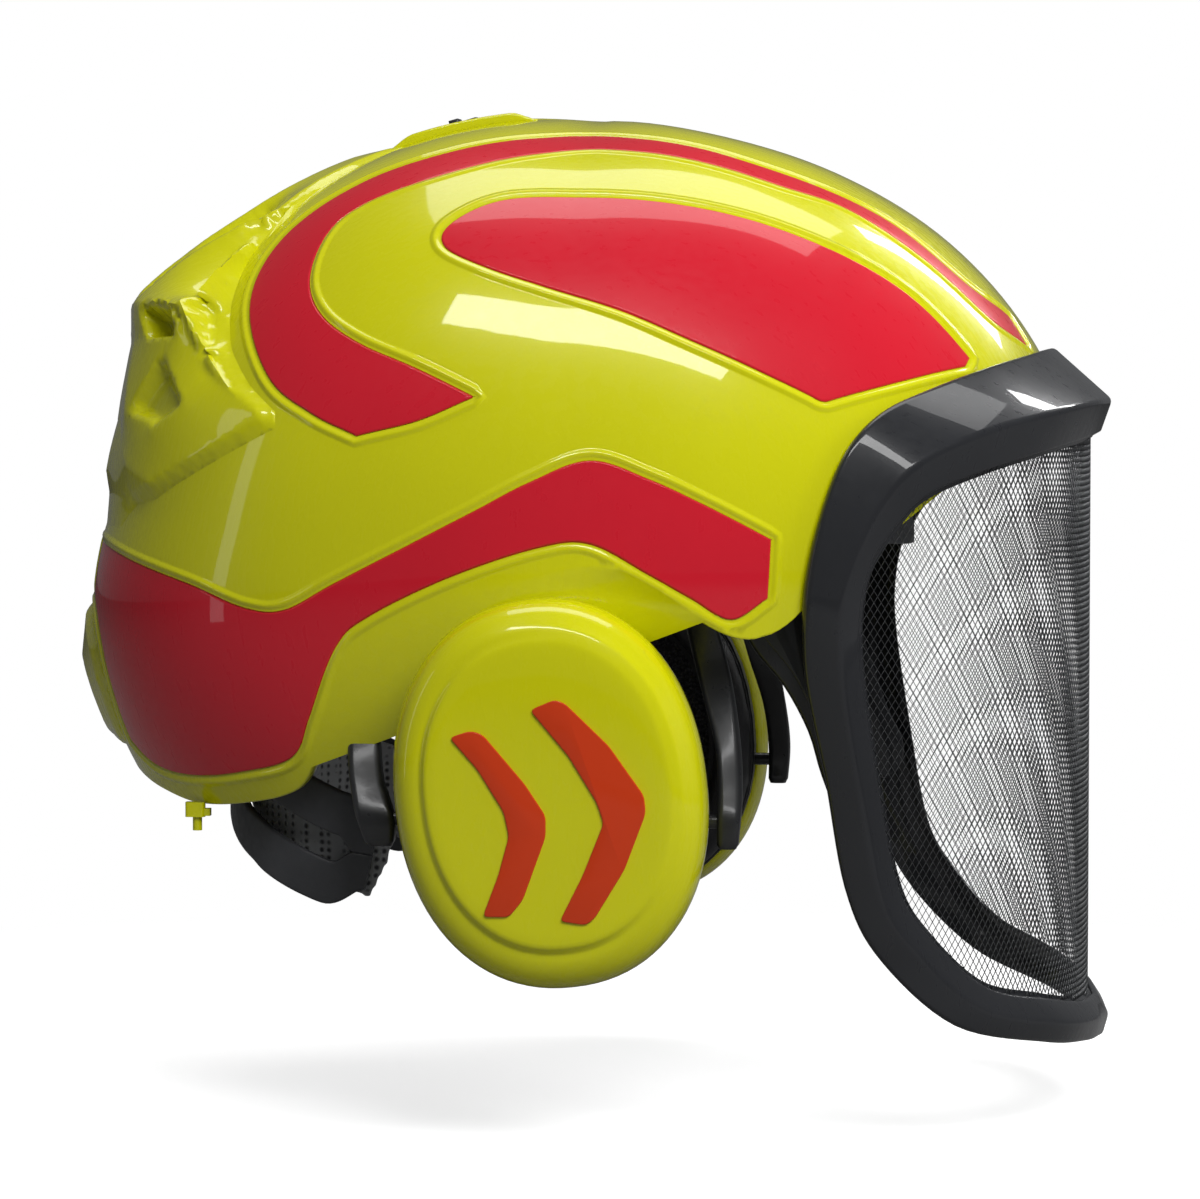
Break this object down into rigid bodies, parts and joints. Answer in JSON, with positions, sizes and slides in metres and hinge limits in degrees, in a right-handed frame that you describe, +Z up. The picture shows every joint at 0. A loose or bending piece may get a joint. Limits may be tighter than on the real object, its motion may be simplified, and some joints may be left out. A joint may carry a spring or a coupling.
{
  "type": "forestry helmet",
  "caption": "Forestry helmet with a hard outer shell, lift-up mesh visor, swing-out ear muffs, strap suspension and a nape cradle with adjuster knob.",
  "frame": {"origin": "centre of the wearer's head on the middle plane, a little below the headband", "axes": "+X towards the front, where the visor is; +Y towards the wearer's left; +Z up"},
  "size_m": [0.3195, 0.2682, 0.283],
  "materials": {
    "lime_shell": "high gloss injection moulded ABS",
    "red_inlay": "satin gloss reflective film",
    "orange_chevron": "gloss inlay",
    "visor_frame": "satin charcoal plastic",
    "visor_mesh": "fine etched mesh, grey",
    "black_plastic": "fine grained black plastic",
    "steel": "turned steel",
    "pad_fabric": "grey open-knit spacer fabric",
    "cushion": "soft black polyurethane skin",
    "foam": "open-cell foam",
    "webbing": "woven nylon webbing",
    "liner": "black moulded inner shell"
  },
  "bodies": {
    "shell": {"outer_shell": "lime_shell", "inner_liner": "liner", "crown_inlay_right": "red_inlay", "crown_inlay_left": "red_inlay", "front_inlay_right": "red_inlay", "front_inlay_left": "red_inlay", "side_inlay_right": "red_inlay", "side_inlay_left": "red_inlay", "rear_vent_cover": "lime_shell", "vent_rails": "lime_shell", "tail_guard": "lime_shell", "cape_pegs": "lime_shell", "headband": "black_plastic", "sweatband": "pad_fabric", "crown_straps": "webbing", "crown_pad": "pad_fabric", "strap_clips": "black_plastic", "visor_mount_right": "black_plastic", "visor_mount_left": "black_plastic", "visor_pins": "steel", "ear_guide_right": "black_plastic", "ear_guide_left": "black_plastic", "guide_screws": "steel"},
    "vent_slider": {"vent_slider": "black_plastic"},
    "visor": {"visor_frame": "visor_frame", "visor_mesh": "visor_mesh", "visor_arm_right": "visor_frame", "visor_arm_left": "visor_frame"},
    "neck_cradle": {"neck_cradle": "black_plastic", "neck_pads": "pad_fabric", "rear_band": "black_plastic", "cradle_struts": "black_plastic", "adjuster_housing": "black_plastic"},
    "adjuster_knob": {"adjuster_knob": "black_plastic"},
    "right_ear_slider": {"ear_slider_right": "black_plastic", "yoke_pins_right": "steel"},
    "right_ear_yoke": {"ear_yoke_right": "black_plastic", "cup_pins_right": "steel"},
    "right_ear_cup": {"cup_back_right": "black_plastic", "cup_shell_right": "lime_shell", "cup_chevrons_right": "orange_chevron", "ear_cushion_right": "cushion", "ear_foam_right": "foam"},
    "left_ear_slider": {"ear_slider_left": "black_plastic", "yoke_pins_left": "steel"},
    "left_ear_yoke": {"ear_yoke_left": "black_plastic", "cup_pins_left": "steel"},
    "left_ear_cup": {"cup_back_left": "black_plastic", "cup_shell_left": "lime_shell", "cup_chevrons_left": "orange_chevron", "ear_cushion_left": "cushion", "ear_foam_left": "foam"}
  },
  "joints": [
    {"name": "visor_lift", "type": "hinge", "parent": "shell", "child": "visor", "pos_m": [0.0155, 0, 0.019], "axis": [0, -1, 0], "range_deg": [0, 42]},
    {"name": "vent_slide", "type": "slide", "parent": "shell", "child": "vent_slider", "axis": [0.9613, 0, 0.2756], "range_m": [0, 0.006]},
    {"name": "knob_turn", "type": "hinge", "parent": "neck_cradle", "child": "adjuster_knob", "pos_m": [-0.13, 0, -0.045], "axis": [1, 0, 0], "range_deg": [0, 300]},
    {"name": "neck_fit", "type": "slide", "parent": "shell", "child": "neck_cradle", "axis": [1, 0, 0], "range_m": [0, 0.01]},
    {"name": "right_ear_height", "type": "slide", "parent": "shell", "child": "right_ear_slider", "axis": [0, 0, -1], "range_m": [0, 0.012]},
    {"name": "right_ear_swing", "type": "hinge", "parent": "right_ear_slider", "child": "right_ear_yoke", "pos_m": [0, -0.097, 0.022], "axis": [-1, 0, 0], "range_deg": [0, 12]},
    {"name": "right_cup_tilt", "type": "hinge", "parent": "right_ear_yoke", "child": "right_ear_cup", "pos_m": [0, -0.1045, -0.058], "axis": [-1, 0, 0], "range_deg": [-5, 5]},
    {"name": "left_ear_height", "type": "slide", "parent": "shell", "child": "left_ear_slider", "axis": [0, 0, -1], "range_m": [0, 0.012]},
    {"name": "left_ear_swing", "type": "hinge", "parent": "left_ear_slider", "child": "left_ear_yoke", "pos_m": [0, 0.097, 0.022], "axis": [1, 0, 0], "range_deg": [0, 12]},
    {"name": "left_cup_tilt", "type": "hinge", "parent": "left_ear_yoke", "child": "left_ear_cup", "pos_m": [0, 0.1045, -0.058], "axis": [1, 0, 0], "range_deg": [-5, 5]}
  ],
  "couplings": [
    {"joint": "knob_turn", "follows": "neck_fit", "rad_per_m": 523.6}
  ]
}
